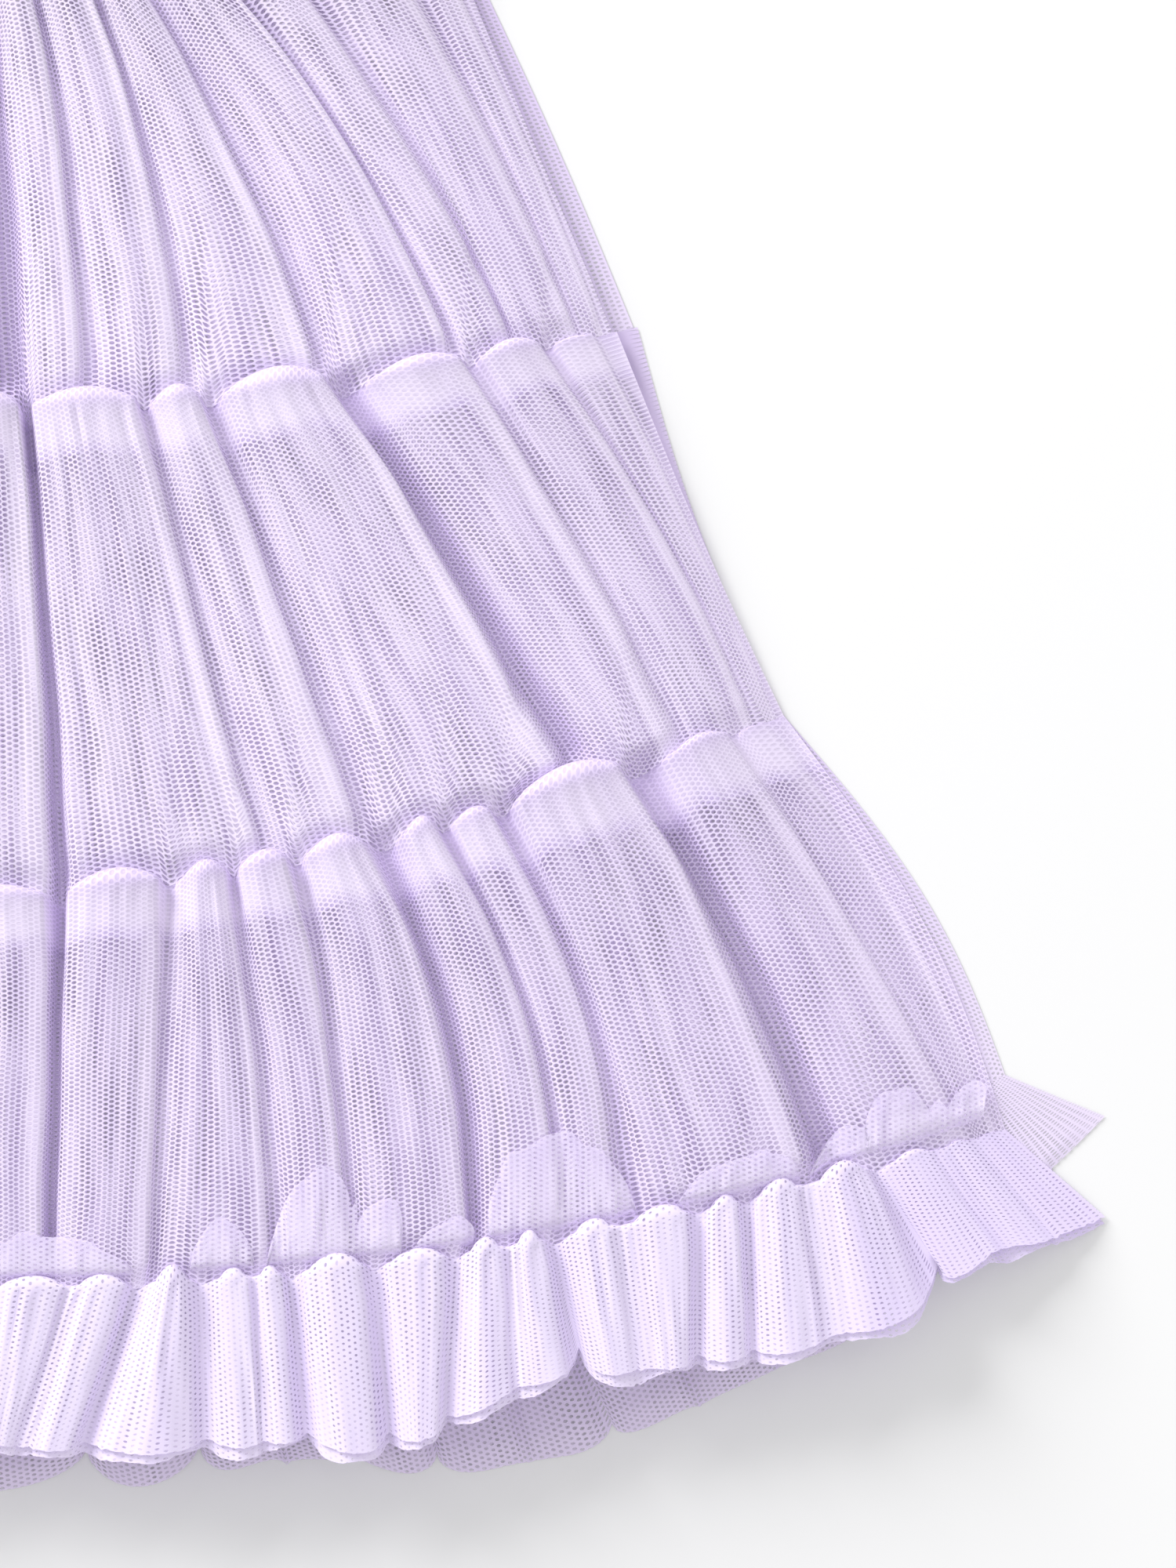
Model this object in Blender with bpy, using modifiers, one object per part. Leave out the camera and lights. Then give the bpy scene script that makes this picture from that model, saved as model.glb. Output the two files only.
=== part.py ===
"""Child's tutu dress of soft tulle, laid flat on its back.

A plain sleeveless bodice carries three gathered tiers and a doubled hem ruffle.  Every piece is a wall of cloth:
the back panels lie on the surface, and the front panels arch over them, so the skirt is a hollow, open at the hem.
The frame: +Z up from the surface, +Y towards the neck, X = 0 on the dress's centre line.
"""

import math
from collections import namedtuple

import bmesh
import bpy

MM = 0.001

# Driving sizes in millimetres.
WALL = 1.2
SEAM_GAP = 0.3
STITCH_STRIP = 0.025

BODICE_LENGTH = 210.0
BODICE_CHEST = 134.0
BODICE_NECK = 62.0
BODICE_SHOULDER = 97.0
SHOULDER_SLOPE = 14.0
ARMHOLE_DEPTH = 118.0
FRONT_NECK_DEPTH = 68.0
BACK_NECK_DEPTH = 30.0
# From the waist up, the bodice front comes down on the back over this share of its length.
BODICE_SETTLE = 0.45

# At the side seams the front panel's edge lies on the back panel's.  The back's folds are pressed this much flatter
# than the front's, and the ruffle hangs longer on its ridges than in its valleys by this share of their height.
SIDE_TOP = 2 * WALL + SEAM_GAP + 0.2
BACK_FOLD_RISE = 0.36
LOBE_DROP = 0.35

# A section is one seam or edge that runs round the skirt: how far it lies below the waist on the centre line, how
# much it climbs towards the side seam and with what curve, its half width, and how high the front arches there.
Section = namedtuple("Section", "drop climb curve half_width loft")

WAIST = Section(drop=0.0, climb=3.0, curve=2.0, half_width=119.0, loft=11.5)
SEAM_1 = Section(drop=109.0, climb=22.0, curve=2.3, half_width=159.0, loft=16.0)
SEAM_2 = Section(drop=224.0, climb=44.0, curve=1.8, half_width=195.0, loft=18.0)
HEM = Section(drop=316.0, climb=37.0, curve=2.1, half_width=248.0, loft=18.5)
BACK_HEM = Section(drop=316.0, climb=50.0, curve=2.6, half_width=248.0, loft=18.5)
FRONT_EDGE = Section(drop=352.0, climb=52.0, curve=2.0, half_width=272.0, loft=19.0)
BACK_EDGE = Section(drop=364.0, climb=88.0, curve=3.2, half_width=272.0, loft=19.0)

# The hem's longest lobes hang this far below their section, and the waist lies so that the whole is centred on Y.
LOBE_REACH = 2.85
WAIST_Y = (BACK_EDGE.drop + LOBE_REACH - BODICE_LENGTH) / 2

# A fold is a ridge with a flat top, from its inner edge to its outer edge, and the valley outside it.  They are
# given by their distances from the centre line at the panel's top and at its foot, by their heights above (or below)
# the arch of the panel, and by how far the fold bows outwards halfway down.  On a ruffle, the last two columns say
# how much longer it hangs on the ridge and in the valley.  The first ridge of each table lies on the centre line.
Fold = namedtuple(
    "Fold",
    "inner_top inner_foot outer_top outer_foot valley_top valley_foot crest valley bow longer notch",
    defaults=(0.0, 0.0, 0.0),
)

TIER_1_FOLDS = (
    Fold(0, 0, 2, 3, 5, 10.5, 2.5, -4.0),
    Fold(8.3, 20.4, 12.5, 26.5, 14.5, 31, 4.0, -2.0, 3),
    Fold(17, 36, 25, 51, 27.5, 55, 3.5, -2.0, 4),
    Fold(30.5, 59, 37, 82, 40, 87, 3.0, -2.5, 4),
    Fold(43.5, 92, 54.5, 113, 57.5, 117, 4.5, -2.0, 6),
    Fold(62, 121, 71, 128, 77, 131, 4.0, -2.0, 5),
    Fold(83, 134, 98, 143.5, 102, 147, 4.0, -1.5, 2),
    Fold(106, 150, 112, 153, 115, 156, 2.5, -1.0, 1),
)
TIER_2_FOLDS = (
    Fold(0, 0, 12.5, 19.5, 16, 24.5, 4.0, -4.5),
    Fold(20, 30, 42, 70, 46.5, 75, 4.5, -1.5),
    Fold(51, 80, 56.5, 92, 60, 98, 4.0, -2.0, 1),
    Fold(65, 105, 87, 139, 93, 148, 6.5, -4.5, 1),
    Fold(100, 158, 112, 166, 119, 171, 5.0, -1.0, 3),
    Fold(127, 176, 137, 186, 141, 189, 4.5, -1.5, 2),
)
TIER_3_FOLDS = (
    Fold(0, 0, 20, 17, 24, 21, 2.5, -4.5),
    Fold(28, 26, 46.5, 42.5, 50, 46, 4.5, -0.5),
    Fold(53.5, 50, 62, 71, 65, 76, 3.5, -1.0, 1),
    Fold(68.5, 81, 76, 89.5, 79.5, 93, 4.5, -1.5, 2),
    Fold(83, 97, 95, 116, 101, 121.5, 4.5, -4.0, 5),
    Fold(105, 127, 111.5, 137, 115, 142, 4.0, -2.0, 6),
    Fold(118.5, 147, 125, 153, 129, 159, 3.5, -2.5, 6),
    Fold(134, 167, 154, 195, 161, 206, 7.0, -5.0, 3),
    Fold(169, 217, 181, 236, 187, 242, 5.0, -0.5, 4),
)
FRONT_RUFFLE_FOLDS = (
    Fold(0, 0, 4, 1, 7, 3.5, 4.0, -1.5, 0, -4.0, -9.0),
    Fold(11, 7, 38, 25, 42, 29.5, 5.0, -2.5, 0, 0.0, 0.0),
    Fold(45, 33.5, 53.5, 55, 57, 58.5, 4.5, -2.0, 0, 1.5, 1.0),
    Fold(60, 62, 75, 78, 78.5, 82, 5.0, -3.0, 0, 2.0, 1.0),
    Fold(81.5, 86, 94, 97.5, 98, 101.5, 5.5, -3.0, 0, 6.5, 3.0),
    Fold(101, 105, 112, 111, 116, 115.5, 4.5, 0.0, 0, 4.0, 1.0),
    Fold(120, 121, 135, 141, 140, 146.5, 4.5, -1.5, 0, -2.0, -10.0),
    Fold(145, 151, 171, 170, 174.5, 174, 5.5, 0.0, 0, -1.5, 0.0),
    Fold(178, 178, 183, 184, 186, 187, 4.5, 0.0, 0, 2.0, 2.0),
    Fold(190, 191, 200, 206, 203, 209, 6.0, 3.0, 0, 4.0, 1.5),
    Fold(206, 212, 213, 226, 217, 231, 5.5, -2.0, 0, -4.0, -6.0),
    Fold(221, 236, 236, 255, 240, 259.5, 4.5, -1.0, 0, -1.0, 0.0),
)
BACK_RUFFLE_FOLDS = (
    Fold(0, 0, 18, 24, 22, 28, 5.0, -1.0, 0, 3.0, -9.0),
    Fold(27, 32, 41, 50, 46, 55, 5.0, -1.0, 0, 0.0, -9.5),
    Fold(51, 60, 77, 87, 82, 92, 4.5, -1.0, 0, -5.0, -3.0),
    Fold(87, 97, 97, 107, 102, 112, 5.0, -1.0, 0, 3.7, -2.0),
    Fold(107, 117, 128, 148, 134, 154, 5.0, -1.0, 0, 5.5, 0.0),
    Fold(140, 159, 174, 188, 180, 194, 4.5, -1.0, 0, 2.0, 3.0),
    Fold(186, 200, 203, 213, 209, 218, 5.0, -1.0, 0, 5.0, 2.0),
    Fold(215, 224, 230, 244, 236, 250, 4.5, -1.0, 0, 0.0, 0.0),
)

# How far each tier's side seam bows outwards halfway down.
SIDE_BOWS = (0.5, -2.0, 6.5)

# How far the folds have swelled at each row of a panel, from its gathered top (0) to its foot (1).
Row = namedtuple("Row", "along swell")

TIER_ROWS = (
    Row(0.0, 0.0),
    Row(STITCH_STRIP, 0.0),
    Row(0.1, 0.9),
    Row(0.27, 1.0),
    Row(0.5, 1.0),
    Row(0.72, 1.0),
    Row(0.9, 0.85),
    Row(1 - STITCH_STRIP, 0.0),
    Row(1.0, 0.0),
)
RUFFLE_ROWS = (Row(0.0, 0.0), Row(0.06, 0.0), Row(0.25, 1.0), Row(1.0, 1.0))
BACK_ROWS = (
    Row(0.0, 0.0),
    Row(STITCH_STRIP, 0.0),
    Row(0.2, 1.0),
    Row(0.5, 1.0),
    Row(0.8, 0.9),
    Row(1 - STITCH_STRIP, 0.0),
    Row(1.0, 0.0),
)
BACK_RUFFLE_ROWS = (Row(0.0, 0.0), Row(0.06, 0.0), Row(0.35, 1.0), Row(1.0, 1.5))

# One column of a folded panel: its distance from the centre line at the top and the foot, its height, how far it bows
# outwards halfway down, and how much longer a ruffle hangs there.
Column = namedtuple("Column", "top foot height bow longer")


def clear_scene():
    for thing in list(bpy.data.objects):
        bpy.data.objects.remove(thing, do_unlink=True)


def make_material(name, colour, roughness):
    material = bpy.data.materials.new(name)
    material.use_nodes = True
    shader = material.node_tree.nodes["Principled BSDF"]
    shader.inputs["Base Color"].default_value = (*colour, 1.0)
    shader.inputs["Roughness"].default_value = roughness
    shader.inputs["Metallic"].default_value = 0.0
    return material


def mix(start, end, share):
    return start + (end - start) * share


def uneven(distance, half_width, phase):
    """Shift a place between the centre line (0) and the side so that no two quarters of the skirt are alike."""
    turn = math.pi * distance / half_width
    return distance + 0.045 * half_width * math.sin(turn) * math.sin(turn + phase)


def fold_columns(folds, top, foot, phase):
    """Columns of one half of a front panel: each ridge's two edges and the valley outside it."""
    columns = []
    for number, fold in enumerate(folds):
        vary = 1.0 if phase is None else 1.0 + 0.2 * math.sin(1.7 * number + phase)
        for at_top, at_foot, height, longer in (
            (fold.inner_top, fold.inner_foot, 0.8 * fold.crest, fold.longer),
            (fold.outer_top, fold.outer_foot, fold.crest, fold.longer),
            (fold.valley_top, fold.valley_foot, fold.valley, fold.notch),
        ):
            if phase is not None:
                at_top = uneven(at_top, top.half_width, phase)
                at_foot = uneven(at_foot, foot.half_width, phase + 0.6)
            columns.append(Column(at_top, at_foot, height * vary, fold.bow, longer))
    return columns


def pressed_columns(columns):
    """Columns of a back panel from a front's: one low ridge a fold, down on the surface between them."""
    pressed = []
    for inner, outer, valley in zip(columns[0::3], columns[1::3], columns[2::3]):
        middle = Column(*[(a + b) / 2 for a, b in zip(inner, outer)])
        if pressed:
            pressed.append(flat_flank(pressed[-1], middle))
        pressed += [middle, flat_flank(middle, valley), valley._replace(height=0.0)]
    return pressed


def flat_flank(first, second):
    middle = Column(*[(a + b) / 2 for a, b in zip(first, second)])
    return middle._replace(height=0.0)


def panel_columns(folds, top, foot, phases, side_bow=0.0, pressed=False):
    """All columns of a panel from its left side seam to its right one."""
    left = fold_columns(folds, top, foot, phases[0])
    right = fold_columns(folds, top, foot, phases[1])
    if pressed:
        left = pressed_columns(left)
        right = pressed_columns(right)
    side = Column(top.half_width, foot.half_width, 0.0, side_bow, 0.0)
    mirrored = [c._replace(top=-c.top, foot=-c.foot, bow=-c.bow) for c in reversed([*left[1:], side])]
    return [*mirrored, *right, side]


def section_y(section, share):
    """Height up the dress of a section, at a share of its half width from the centre line."""
    return WAIST_Y - section.drop + section.climb * abs(share) ** section.curve


def arch(loft, share):
    """Height of the front's smooth arch: level over the middle, down on the back panel at the side seam."""
    return SIDE_TOP + (loft - SIDE_TOP) * (1.0 - abs(share) ** 6)


def panel_point(top, foot, column, row, on_surface, lobe_drop):
    """The outer point of a skirt panel at one column and row, in millimetres."""
    x = mix(column.top, column.foot, row.along) + column.bow * math.sin(math.pi * row.along)
    share = min(1.0, abs(x) / mix(top.half_width, foot.half_width, row.along))
    y = mix(section_y(top, share), section_y(foot, share), row.along)
    relief = column.height * row.swell * (1.0 - share**8)
    y += SEAM_GAP * (row.along - 0.5) - row.along * (lobe_drop * relief + column.longer)
    if on_surface:
        return x, y, max(0.0, relief * BACK_FOLD_RISE)
    return x, y, arch(mix(top.loft, foot.loft, row.along), share) + relief


def make_cloth(name, points, material, collection, on_surface):
    """A sheet of cloth through rows of points, given its wall inwards by a Solidify modifier."""
    rows = len(points)
    columns = len(points[0])
    sheet = bmesh.new()
    bmesh.ops.create_grid(sheet, x_segments=columns - 1, y_segments=rows - 1, size=0.5)
    for vertex in sheet.verts:
        column = round((vertex.co.x + 0.5) * (columns - 1))
        row = round((0.5 - vertex.co.y) * (rows - 1))
        vertex.co = [value * MM for value in points[row][column]]
    if on_surface:
        bmesh.ops.reverse_faces(sheet, faces=sheet.faces)
    mesh = bpy.data.meshes.new(name)
    sheet.to_mesh(mesh)
    sheet.free()
    mesh.materials.append(material)
    mesh.shade_smooth()
    cloth = bpy.data.objects.new(name, mesh)
    collection.objects.link(cloth)
    wall = cloth.modifiers.new("Wall", "SOLIDIFY")
    wall.thickness = WALL * MM
    wall.offset = -1.0
    wall.use_even_offset = True
    return cloth


def make_skirt_panel(name, top, foot, rows, columns, material, collection, on_surface=False, lobe_drop=0.0):
    points = []
    for row in rows:
        points.append([panel_point(top, foot, column, row, on_surface, lobe_drop) for column in columns])
    return make_cloth(name, points, material, collection, on_surface)


def bodice_top_edge(neck_depth):
    """Points along the neck, shoulder and armhole of the right half, from the centre line to the underarm."""
    top_y = WAIST_Y + BODICE_LENGTH
    points = []
    for step in range(7):
        turn = math.radians(90 * step / 6)
        points.append((BODICE_NECK * math.sin(turn), top_y - neck_depth * math.cos(turn)))
    middle = (BODICE_NECK + BODICE_SHOULDER) / 2
    points.append((middle, top_y - SHOULDER_SLOPE / 2))
    armhole_width = BODICE_CHEST - BODICE_SHOULDER
    underarm_y = top_y - SHOULDER_SLOPE - ARMHOLE_DEPTH
    for step in range(7):
        turn = math.radians(90 * step / 6)
        x = BODICE_CHEST - armhole_width * math.cos(turn)
        points.append((x, underarm_y + ARMHOLE_DEPTH * (1.0 - math.sin(turn))))
    return points


def make_bodice_panel(name, neck_depth, material, collection, on_surface):
    """A bodice panel: straight rows from the waist seam up to the neck, shoulders and armholes."""
    right = bodice_top_edge(neck_depth)
    edge = [(-x, y) for x, y in reversed(right[1:])] + right
    points = []
    for along in (1.0, 0.7, BODICE_SETTLE, 0.25, 0.12, 0.04, 0.0):
        line = []
        for edge_x, edge_y in edge:
            share = edge_x / BODICE_CHEST
            foot_x = share * WAIST.half_width
            foot_y = section_y(WAIST, share) + SEAM_GAP / 2
            loft = mix(WAIST.loft, SIDE_TOP, min(1.0, along / BODICE_SETTLE))
            z = 0.0 if on_surface else arch(loft, share)
            line.append((mix(foot_x, edge_x, along), mix(foot_y, edge_y, along), z))
        points.append(line)
    return make_cloth(name, points, material, collection, on_surface)


def main():
    clear_scene()
    dress = bpy.data.collections.new("tutu_dress")
    bpy.context.scene.collection.children.link(dress)
    tulle = make_material("lavender_tulle", (0.76, 0.67, 0.87), 0.85)
    ruffle_tulle = make_material("ruffle_tulle", (0.80, 0.73, 0.90), 0.85)
    jersey = make_material("lavender_jersey", (0.74, 0.65, 0.86), 0.9)

    make_bodice_panel("bodice_front", FRONT_NECK_DEPTH, jersey, dress, on_surface=False)
    make_bodice_panel("bodice_back", BACK_NECK_DEPTH, jersey, dress, on_surface=True)

    tiers = (
        ("tier_1", WAIST, SEAM_1, SEAM_1, TIER_1_FOLDS, SIDE_BOWS[0], 0.4),
        ("tier_2", SEAM_1, SEAM_2, SEAM_2, TIER_2_FOLDS, SIDE_BOWS[1], 1.5),
        ("tier_3", SEAM_2, HEM, BACK_HEM, TIER_3_FOLDS, SIDE_BOWS[2], 2.6),
    )
    for name, top, front_foot, back_foot, folds, bow, phase in tiers:
        front = panel_columns(folds, top, front_foot, (phase, None), bow)
        back = panel_columns(folds, top, back_foot, (phase + 2.0, phase + 3.5), bow, pressed=True)
        make_skirt_panel(f"{name}_front", top, front_foot, TIER_ROWS, front, tulle, dress)
        make_skirt_panel(f"{name}_back", top, back_foot, BACK_ROWS, back, tulle, dress, on_surface=True)

    front = panel_columns(FRONT_RUFFLE_FOLDS, HEM, FRONT_EDGE, (0.9, None))
    make_skirt_panel(
        "hem_ruffle_front", HEM, FRONT_EDGE, RUFFLE_ROWS, front, ruffle_tulle, dress, lobe_drop=LOBE_DROP
    )
    back = panel_columns(BACK_RUFFLE_FOLDS, BACK_HEM, BACK_EDGE, (3.1, None), pressed=True)
    make_skirt_panel("hem_ruffle_back", BACK_HEM, BACK_EDGE, BACK_RUFFLE_ROWS, back, ruffle_tulle, dress, True)


main()
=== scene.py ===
"""A child's tutu dress of lavender tulle, laid flat on a pale surface and seen from straight above.

The frame: metres, +Z up from the surface, +Y towards the neck, X = 0 on the dress's centre line.
The sections follow the sewing, from the hem ruffle up.
Each tier is gathered onto the foot of the one above it.
"""

import math
from collections import namedtuple

import bpy
import numpy as np
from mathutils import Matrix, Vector
from mathutils.geometry import delaunay_2d_cdt


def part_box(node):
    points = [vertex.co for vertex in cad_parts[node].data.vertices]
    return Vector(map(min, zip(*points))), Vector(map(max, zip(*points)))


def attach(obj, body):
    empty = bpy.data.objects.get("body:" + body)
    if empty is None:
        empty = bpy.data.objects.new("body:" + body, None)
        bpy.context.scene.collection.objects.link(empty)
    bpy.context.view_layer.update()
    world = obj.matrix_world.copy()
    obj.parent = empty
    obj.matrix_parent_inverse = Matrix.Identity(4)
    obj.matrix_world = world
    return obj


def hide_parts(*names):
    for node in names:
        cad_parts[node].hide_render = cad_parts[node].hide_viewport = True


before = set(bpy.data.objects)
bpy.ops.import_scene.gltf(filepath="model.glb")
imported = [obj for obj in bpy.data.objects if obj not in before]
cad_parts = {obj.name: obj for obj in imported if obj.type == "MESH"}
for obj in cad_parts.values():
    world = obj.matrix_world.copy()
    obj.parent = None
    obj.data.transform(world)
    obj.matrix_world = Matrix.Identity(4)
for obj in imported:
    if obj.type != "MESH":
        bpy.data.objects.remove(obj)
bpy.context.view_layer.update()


# Hem ruffle: a doubled strip of tulle with raw edges, gathered along a line of stitches onto the skirt's hem.
# In front it stands up in uneven rounded waves.  At the back it lies pressed on the surface.
# Tulle is a net knitted with small oval holes in staggered rows, so whatever lies under it shows through.

MM = 0.001
WAIST_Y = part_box("bodice_back")[0].y / MM - 0.15
SIDE_REST = 1.0
LOW_CLOTH = 0.35
BACK_PRESS = 0.36
HOLE_ACROSS = 2.8
HOLE_DOWN = 1.2

# One seam or edge round the skirt, in millimetres: how far below the waist it lies on the centre line, how
# much it climbs towards the sides and with what curve, its half width, and how high the front arches there.
Section = namedtuple("Section", "drop climb curve half_width loft")
HEM = Section(drop=316.0, climb=37.0, curve=2.1, half_width=248.0, loft=18.5)
BACK_HEM = Section(drop=316.0, climb=50.0, curve=2.6, half_width=248.0, loft=18.5)
FRONT_EDGE = Section(drop=352.0, climb=52.0, curve=2.0, half_width=272.0, loft=19.0)
BACK_EDGE = Section(drop=364.0, climb=88.0, curve=3.2, half_width=272.0, loft=19.0)

# A flat-topped ridge from its inner edge to its outer edge, and the valley outside it: distances from the
# centre line at the panel's top and foot, heights above or below the arch, how far the ridge bows outwards
# halfway down, how far its outer edge hangs over its valley, and how much longer a ruffle is on each.
Fold = namedtuple(
    "Fold",
    "inner_top inner_foot outer_top outer_foot valley_top valley_foot crest valley bow lean longer notch",
    defaults=(0.0, 0.0),
)
FRONT_RUFFLE_FOLDS = (
    Fold(0, 0, 5, 1.5, 7, 3, 3.0, 0.0, 0, 0.0, -4.0, -7.0),
    Fold(10, 5.5, 24, 12.5, 26.5, 14.5, 3.2, 2.2, 0, 0.3, -1.0, -0.5),
    Fold(28.5, 17, 39, 25.5, 42, 29.5, 3.2, 0.0, 0, 0.8, 0.0, 0.0),
    Fold(46.5, 35, 54, 54, 57.5, 58.5, 3.4, 0.4, 0, 0.4, 1.5, 0.5),
    Fold(61.5, 63, 67.5, 70, 69.5, 72, 3.2, 2.2, 0, 0.4, 2.0, 1.5),
    Fold(71, 74, 75.2, 78, 78.3, 82, 3.4, -0.2, 0, 0.4, 2.0, 2.0),
    Fold(82.5, 86.5, 94.5, 97.5, 98, 101.5, 4.0, 0.0, 0, 0.8, 6.5, 4.0),
    Fold(102, 105.5, 113.5, 111.5, 117, 115, 3.6, 0.4, 0, 0.8, 5.0, 2.0),
    Fold(120.5, 119.5, 127, 128.5, 129.5, 131.5, 3.6, 2.4, 0, 0.5, -2.0, -2.5),
    Fold(131.5, 134, 136.5, 141.5, 140.5, 146, 4.0, 0.0, 0, 0.8, -4.0, -8.0),
    Fold(145, 151, 153, 157, 156, 160.5, 4.4, 3.2, 0, 0.5, -1.5, -1.0),
    Fold(159, 164, 170.5, 170.5, 174.2, 174, 4.4, 1.0, 0, 0.8, 0.0, -0.5),
    Fold(177, 177, 183, 184.4, 185.5, 186.8, 3.8, 0.8, 0, 0.4, 2.0, 2.0),
    Fold(188.5, 190, 197, 201, 200, 205, 4.6, 3.4, 0, 0.5, 3.5, 3.0),
    Fold(203, 209, 213, 225.5, 217, 231, 4.6, 0.0, 0, 1.2, 4.0, -4.0),
    Fold(221, 236, 229, 244.5, 231.5, 247.5, 4.2, 3.0, 0, 0.5, -4.0, -3.0),
    Fold(234, 250.5, 238, 256.5, 240.5, 259.5, 4.0, 1.0, 0, 0.8, -1.0, 0.0),
    Fold(242, 262, 246, 269, 247, 271, 2.5, 0.0, 0, 0.3, 0.0, 0.0),
)
BACK_RUFFLE_FOLDS = (
    Fold(0, 0, 20, 26.5, 22, 28, 5.0, -1.0, 0, 0.0, 2.0, -9.0),
    Fold(24, 30, 44, 53.5, 46, 55, 5.0, -1.0, 0, 0.0, 0.0, -9.5),
    Fold(48, 57, 64, 74, 66, 76, 4.5, 1.0, 0, 0.0, -5.0, -3.0),
    Fold(68, 78, 80, 90, 82, 92, 4.5, -1.0, 0, 0.0, -3.0, -4.0),
    Fold(84, 94, 100, 110, 102, 112, 5.0, -1.0, 0, 0.0, 3.7, -2.0),
    Fold(104, 114, 118, 132, 120, 134, 4.5, 0.5, 0, 0.0, 4.0, 4.0),
    Fold(122, 136, 132, 151, 134, 154, 5.0, -1.0, 0, 0.0, 5.0, 0.0),
    Fold(138, 157, 156, 173, 158, 175, 4.5, 0.5, 0, 0.0, 2.0, 3.0),
    Fold(160, 177, 178, 192, 180, 194, 4.5, -1.0, 0, 0.0, 2.0, 2.0),
    Fold(184, 198, 205, 214, 209, 218, 5.0, -1.0, 0, 0.0, 5.0, 2.0),
    Fold(213, 222, 232, 246, 236, 250, 4.5, -1.0, 0, 0.0, 0.0, 0.0),
    Fold(240, 254, 246, 268, 247, 270, 3.0, -1.0, 0, 0.0, 0.0, 0.0),
)

Knots = namedtuple("Knots", "top foot height edge bow lean longer")
Panel = namedtuple(
    "Panel",
    "top foot knots below seed gathers puff crisp waver body",
    defaults=(1.0, 0.5, 2.2, 0.9, 0.45),
)


def smooth(value):
    value = np.clip(value, 0.0, 1.0)
    return value * value * (3.0 - 2.0 * value)


def section_y(section, share):
    return WAIST_Y - section.drop + section.climb * np.abs(share) ** section.curve


def arch(loft, share):
    return SIDE_REST + (loft - SIDE_REST) * (1.0 - np.abs(share) ** 6)


def ripple(across, along, pitch, seed):
    """Long uneven streaks: waves across the cloth that change slowly along it, between about -1 and 1."""
    total = 0.0
    for number in range(5):
        rate = (1.0 + 0.37 * number) / pitch
        bend = 1.9 * np.sin(along * (1.7 + 0.6 * number) + seed * (1.3 + number))
        wave = np.sin(2 * math.pi * across * rate + bend + seed * 2.1 * number)
        total = total + wave / (1.0 + 0.5 * number)
    return total / 2.6


def uneven(distance, half_width, phase):
    """Shift a place between the centre line and the side, so that no two quarters of the skirt are alike."""
    turn = math.pi * distance / half_width
    return distance + 0.045 * half_width * math.sin(turn) * math.sin(turn + phase)


def half_knots(folds, top, foot, side, phase):
    """Ridge edges and valleys from the centre line to the side, whose top, foot and bow are given."""
    rows = []
    for number, fold in enumerate(folds):
        vary = 1.0 if phase is None else 1.0 + 0.2 * math.sin(1.7 * number + phase)
        inner = [fold.inner_top, fold.inner_foot, 0.8 * fold.crest * vary, 1, fold.bow, 0.0, fold.longer]
        outer = [fold.outer_top, fold.outer_foot, fold.crest * vary, 2, fold.bow, fold.lean, fold.longer]
        valley = [fold.valley_top, fold.valley_foot, fold.valley * vary, 0, fold.bow, 0.0, fold.notch]
        for row in (inner, outer, valley):
            if phase is not None:
                row[0] = uneven(row[0], top.half_width, phase)
                row[1] = uneven(row[1], foot.half_width, phase + 0.6)
            rows.append(row)
    rows.append([side[0], side[1], 0.0, 0, side[2], 0.0, 0.0])
    return np.array(rows)


def panel_knots(folds, top, foot, phases=(None, None), side=None):
    """Ridge edges and valleys of a whole panel, from its left side seam to its right one."""
    side = side or (top.half_width, foot.half_width, 0.0)
    left = half_knots(folds, top, foot, side, phases[0])[:0:-1] * (-1, -1, 1, 1, -1, -1, 1)
    right = half_knots(folds, top, foot, side, phases[1])
    return Knots(*np.concatenate([left, right]).T)


def spread_places(knots, spacing, fewest):
    """Places across a panel, counted in knots, closer together where the knots are closer in the cloth."""
    places = [np.array([0.0])]
    for number in range(len(knots.top) - 1):
        width = max(knots.top[number + 1] - knots.top[number], knots.foot[number + 1] - knots.foot[number])
        steps = max(fewest, round(width / spacing))
        places.append(number + np.arange(1, steps + 1) / steps)
    return np.concatenate(places)[None, :]


def between(values, places):
    start = np.clip(np.floor(places).astype(int), 0, len(values) - 2)
    share = places - start
    return values[start], values[start + 1], share


def across_knots(values, places):
    first, second, share = between(values, places)
    return first + (second - first) * share


def fold_height(knots, places, crisp=2.2):
    """Crowned ridges that rise softly on the inner side and drop from a crisp edge on the outer side."""
    first, second, share = between(knots.height, places)
    first_edge, second_edge, _ = between(knots.edge, places)
    left, right, _ = between(knots.foot, places)
    crown = np.minimum(0.15 * np.abs(right - left), 2.4) * np.sin(np.pi * share)
    top = first + (second - first) * share + crown
    bend = np.where(np.maximum(first_edge, second_edge) > 1, crisp, 1.1)
    rise = first + (second - first) * smooth(share) ** bend
    fall = second + (first - second) * smooth(1.0 - share) ** bend
    return np.where(first_edge * second_edge > 0, top, np.where(second_edge > 0, rise, fall))


def ridge_dome(knots, places):
    """How far along a ridge's top a place is: 0 at its edges and in the valleys, 1 in its middle."""
    first_edge, second_edge, share = between(knots.edge, places)
    return np.where(first_edge * second_edge > 0, np.sqrt(np.clip(4.0 * share * (1.0 - share), 0, 1)), 0.0)


def edge_lean(knots, places):
    """How far the cloth hangs over its valley: all of it at a ridge's outer edge, soon less along its top."""
    first, second, share = between(knots.lean, places)
    most = np.maximum(np.maximum(np.abs(first), np.abs(second)), 1e-6)
    lean = first + (second - first) * share
    first_edge, second_edge, _ = between(knots.edge, places)
    return np.where(first_edge * second_edge > 0, lean * (lean / most) ** 2, lean)


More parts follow.
